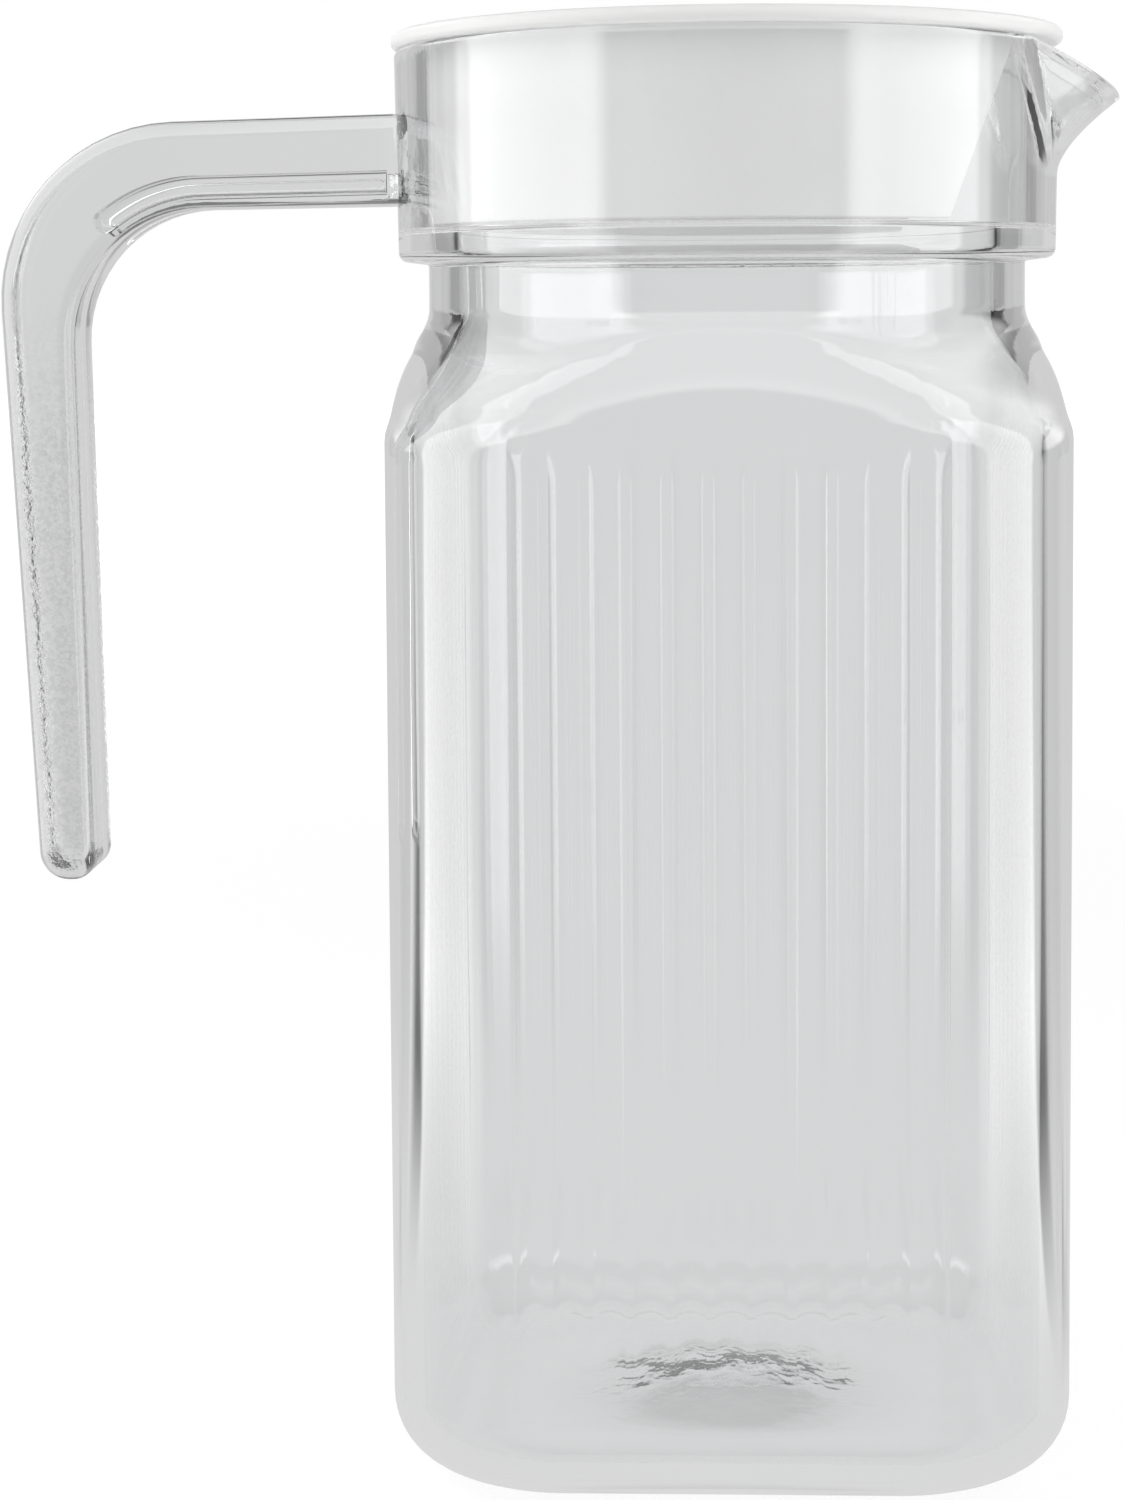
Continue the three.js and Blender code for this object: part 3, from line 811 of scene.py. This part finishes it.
# clear acrylic: lightly grey, denser through the thick handle, faintly uneven as it came
# from the mould, with a stippled grain on the grip's flat sides and folds where it is thick
CLEARNESS = 0.965
GREENER = 1.004
BLUER = 1.008
HANDLE_DENSITY = 0.03
GLOSS = 0.015  # roughness
WAVE_SCALE = (60, 60, 22)
WAVE_TONE = 0.02
WAVE_STRENGTH = 0.25
WAVE_HEIGHT = 0.0004
STIPPLE_SCALE = 1700.0
STIPPLE_DOTS = (0.4, 0.64)
STIPPLE_TONE = 0.16
STIPPLE_ROUGHNESS = 0.25
STIPPLE_STRENGTH = 0.5
STIPPLE_HEIGHT = 0.0002
STIPPLE_TOP = (0.13, 0.165)  # where it ends, up the grip
STIPPLE_EDGE = (0.0004, 0.0001)  # in from the flat sides
FOLD_SCALE = 110.0
FOLD_HEIGHT = 0.003
BASE_FOLDS = 0.13
BASE_FOLD_EDGE = (0.01, 0.026)  # from the axis
BASE_FOLD_TOP = (0.009, 0.012)
ROOT_FOLDS = 0.12
ROOT_FOLD_MIDDLE = 0.002  # in from the collar's outside
ROOT_FOLD_EDGE = (0.003, 0.006)  # from that middle
ROOT_FOLD_WIDTH = (0.012, 0.017)
ROOT_FOLD_FOOT = (0.166, 0.17)
ROOT_FOLD_TOP = (0.182, 0.188)
HANDLE_START = (0.002, 0.0005)  # out from the collar
ACRYLIC_IOR = 1.49
SHADOW_TINT = (0.99, 0.99, 0.99, 1)
TRAPPED = 2.5  # light mirrored more often than this inside the plastic passes straight on

where = mould.node("ShaderNodeTexCoord", {}, {}, "Object")
x = mould.node("ShaderNodeSeparateXYZ", {}, {0: where})
y = x.also("Y")
z = x.also("Z")
stretched = mould.node("ShaderNodeMapping", {}, {"Vector": where, "Scale": WAVE_SCALE})
waves = mould.node("ShaderNodeTexNoise", {}, {"Vector": stretched, "Scale": 1.0, "Detail": 1.0})
stipple = mould.node(
    "ShaderNodeTexNoise", {}, {"Vector": where, "Scale": STIPPLE_SCALE, "Detail": 1.0}
)
folds = mould.node(
    "ShaderNodeTexNoise", {}, {"Vector": where, "Scale": FOLD_SCALE, "Detail": 3.0}
)
collar_side = jug_axis - collar_radius
in_handle = 1 - x.smooth(collar_side - HANDLE_START[0], collar_side - HANDLE_START[1])
flat_side = y.absolute().smooth(handle_high.y - STIPPLE_EDGE[0], handle_high.y - STIPPLE_EDGE[1])
grained = in_handle * flat_side * (1 - z.smooth(*STIPPLE_TOP))
from_axis = ((x - jug_axis) ** 2.0 + y**2.0) ** 0.5
in_base = (1 - from_axis.smooth(*BASE_FOLD_EDGE)) * (1 - z.smooth(*BASE_FOLD_TOP))
from_root = (x - (collar_side + ROOT_FOLD_MIDDLE)).absolute()
at_root = (1 - from_root.smooth(*ROOT_FOLD_EDGE)) * (1 - y.absolute().smooth(*ROOT_FOLD_WIDTH))
at_root = at_root * z.smooth(*ROOT_FOLD_FOOT) * (1 - z.smooth(*ROOT_FOLD_TOP))

clear = CLEARNESS + WAVE_TONE * waves - in_handle * HANDLE_DENSITY
clear = clear - grained * STIPPLE_TONE * stipple.smooth(*STIPPLE_DOTS)
tint = mould.node(
    "ShaderNodeCombineColor", {}, {0: clear, 1: clear * GREENER, 2: clear * BLUER}
)
wavy = mould.node(
    "ShaderNodeBump",
    {},
    {"Height": waves, "Strength": WAVE_STRENGTH, "Distance": WAVE_HEIGHT},
)
folded = mould.node(
    "ShaderNodeBump",
    {},
    {
        "Height": folds,
        "Strength": in_base * BASE_FOLDS + at_root * ROOT_FOLDS,
        "Distance": FOLD_HEIGHT,
        "Normal": wavy,
    },
)
grainy = mould.node(
    "ShaderNodeBump",
    {},
    {
        "Height": stipple,
        "Strength": grained * STIPPLE_STRENGTH,
        "Distance": STIPPLE_HEIGHT,
        "Normal": folded,
    },
)
plastic = mould.node(
    "ShaderNodeBsdfPrincipled",
    {},
    {
        "Base Color": tint,
        "Roughness": GLOSS + grained * stipple * STIPPLE_ROUGHNESS,
        "IOR": ACRYLIC_IOR,
        "Transmission Weight": 1.0,
        "Normal": grainy,
    },
)
lets_light = mould.node("ShaderNodeBsdfTransparent", {}, {"Color": SHADOW_TINT})
in_shadow = mould.node("ShaderNodeLightPath", {}, {}, "Is Shadow Ray")
trapped = in_shadow.math("GREATER_THAN", in_shadow.also("Glossy Depth"), TRAPPED)
passing = in_shadow.math("MAXIMUM", in_shadow, trapped)
surface = mould.node("ShaderNodeMixShader", {}, {0: passing, 1: plastic, 2: lets_light})
mould.node("ShaderNodeOutputMaterial", {}, {"Surface": surface})
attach(jug, "jug")
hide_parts("vessel", "pouring_collar", "handle")


# Lid: milky satin plastic, a thin flange on the rim and a plug wall down to the ledge.
# It is turned on a lathe and cut away on a slant towards the spout, so drink can pass.
FLANGE_THICKNESS = 0.0022
FLANGE_ROUND = 0.001
PLUG_CLEARANCE = 0.00035
PLUG_WALL = 0.0018
PLUG_ROUND = 0.0003
PLUG_TOP_ROUND = 0.0004  # inside, below the flange
POUR_CUT_TOP = 0.0056
POUR_CUT_FOOT = 0.014
POUR_CUT_ROOF = 0.0004  # below the flange
POUR_CUT_WIDTH = 0.09
POUR_CUT_BELOW = 0.01  # how far the cutter reaches past the plug
POUR_CUT_BEYOND = 0.02
CUT_SOFTENING = 0.0002
CUT_ANGLE = 50  # degrees, past which an edge is softened
LID_COLUMNS = 256
lid_low, lid_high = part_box("lid")
seat = lid_high.z - FLANGE_THICKNESS
flange_radius = (lid_high.y - lid_low.y) / 2
flange_middle = flange_radius - FLANGE_ROUND
plug_radius = collar_bore - PLUG_CLEARANCE
plug_inner = plug_radius - PLUG_WALL
plug_foot = lid_low.z + PLUG_ROUND
plug_top = seat - PLUG_TOP_ROUND
lid_line = [
    (0, seat),
    *arc(plug_inner - PLUG_TOP_ROUND, plug_top, PLUG_TOP_ROUND, 90, 0, steps=3),
    *arc(plug_inner + PLUG_ROUND, plug_foot, PLUG_ROUND, 180, 270, steps=3),
    *arc(plug_radius - PLUG_ROUND, plug_foot, PLUG_ROUND, -90, 0, steps=3),
    *arc(plug_radius + PLUG_ROUND, seat - PLUG_ROUND, PLUG_ROUND, 180, 90, steps=3),
    *arc(flange_middle, seat + FLANGE_ROUND, FLANGE_ROUND, -90, 0, steps=6),
    *arc(flange_middle, lid_high.z - FLANGE_ROUND, FLANGE_ROUND, 0, 90, steps=6),
    (0, lid_high.z),
]
points = []
faces = []
for radius, level in lid_line:
    for k in range(LID_COLUMNS):
        a = 2 * pi * k / LID_COLUMNS
        points.append((jug_axis + radius * cos(a), radius * sin(a), level))
for ring in range(len(lid_line) - 1):
    this = ring * LID_COLUMNS
    other = this + LID_COLUMNS
    for k in range(LID_COLUMNS):
        after = (k + 1) % LID_COLUMNS
        faces.append((this + k, this + after, other + after, other + k))
lid_shape = bpy.data.meshes.new("push_in_lid")
lid_shape.from_pydata(points, [], faces)
lid = bpy.data.objects.new("push_in_lid", lid_shape)
scene.collection.objects.link(lid)
weld = lid.modifiers.new("weld", "WELD")
weld.merge_threshold = MERGE
freeze(lid)
pour_cut = [
    (collar_bore - POUR_CUT_FOOT, lid_low.z),
    (collar_bore - POUR_CUT_FOOT, lid_low.z - POUR_CUT_BELOW),
    (collar_bore + POUR_CUT_BEYOND, lid_low.z - POUR_CUT_BELOW),
    (collar_bore + POUR_CUT_BEYOND, seat - POUR_CUT_ROOF),
    (collar_bore - POUR_CUT_TOP, seat - POUR_CUT_ROOF),
]
combine(lid, side_extrusion("pour_cut", pour_cut, POUR_CUT_WIDTH, 0), "DIFFERENCE")
soften = lid.modifiers.new("soften", "BEVEL")
soften.width = CUT_SOFTENING
soften.segments = 2
soften.limit_method = "ANGLE"
soften.angle_limit = radians(CUT_ANGLE)
freeze(lid)

# milky plastic: satin, faintly cloudy, with painted shade that darkens the flange and more so
# its thin edge, and painted light that makes the plug lightest right below the flange, where the
# flange's shadow falls
MILK = 0.85
CLOUD_SCALE = 45.0
CLOUD_TONE = 0.04
# painted light at the plug's top, where the flange's shadow falls
NEAR_TOP_PAINTED_LIGHT = 0.08
NEAR_TOP = 0.012  # how far down the plug that reaches
# painted shade: the flange, lit straight by the softboxes, is darkened, its thin edge more
FLANGE_PAINTED_SHADE = 0.13
FLANGE_FOOT = (-0.0001, 0.0004)  # from the seat
THIN_EDGE_PAINTED_SHADE = 0.04
THIN_EDGE = (0.0025, 0.0006)  # in from the flange's edge
WARMTH = 0.995  # of blue
SATIN_SCALE = 1600.0
SATIN_STRENGTH = 0.1
SATIN_HEIGHT = 0.0002
SATIN_ROUGHNESS = 0.34
CLOUD_ROUGHNESS = 0.08

milky, resin = blank_material("milky_plastic")
where = resin.node("ShaderNodeTexCoord", {}, {}, "Object")
x = resin.node("ShaderNodeSeparateXYZ", {}, {0: where})
y = x.also("Y")
z = x.also("Z")
cloud = resin.node(
    "ShaderNodeTexNoise", {}, {"Vector": where, "Scale": CLOUD_SCALE, "Detail": 2.0}
)
satin = resin.node(
    "ShaderNodeTexNoise", {}, {"Vector": where, "Scale": SATIN_SCALE, "Detail": 1.0}
)
from_axis = ((x - jug_axis) ** 2.0 + y**2.0) ** 0.5
thin_edge = from_axis.smooth(flange_radius - THIN_EDGE[0], flange_radius - THIN_EDGE[1])
on_flange = z.smooth(seat + FLANGE_FOOT[0], seat + FLANGE_FOOT[1])
# painted light below the flange, against its shadow
painted_light_near_top = z.smooth(seat - NEAR_TOP, seat) * (1 - on_flange)
tone = MILK + CLOUD_TONE * cloud + NEAR_TOP_PAINTED_LIGHT * painted_light_near_top
# painted shade on the flange and its thin edge
tone = tone - on_flange * (FLANGE_PAINTED_SHADE + THIN_EDGE_PAINTED_SHADE * thin_edge)
colour = resin.node("ShaderNodeCombineColor", {}, {0: tone, 1: tone, 2: tone * WARMTH})
fine = resin.node(
    "ShaderNodeBump",
    {},
    {"Height": satin, "Strength": SATIN_STRENGTH, "Distance": SATIN_HEIGHT},
)
body = resin.node(
    "ShaderNodeBsdfPrincipled",
    {},
    {
        "Base Color": colour,
        "Roughness": SATIN_ROUGHNESS + CLOUD_ROUGHNESS * cloud,
        "IOR": 1.5,
        "Specular IOR Level": 0.3,
        "Subsurface Weight": 0.5,
        "Subsurface Radius": (1.0, 1.0, 0.95),
        "Subsurface Scale": 0.002,
        "Normal": fine,
    },
)
resin.node("ShaderNodeOutputMaterial", {}, {"Surface": body})
dress(lid, milky)
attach(lid, "lid")
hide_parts("lid")
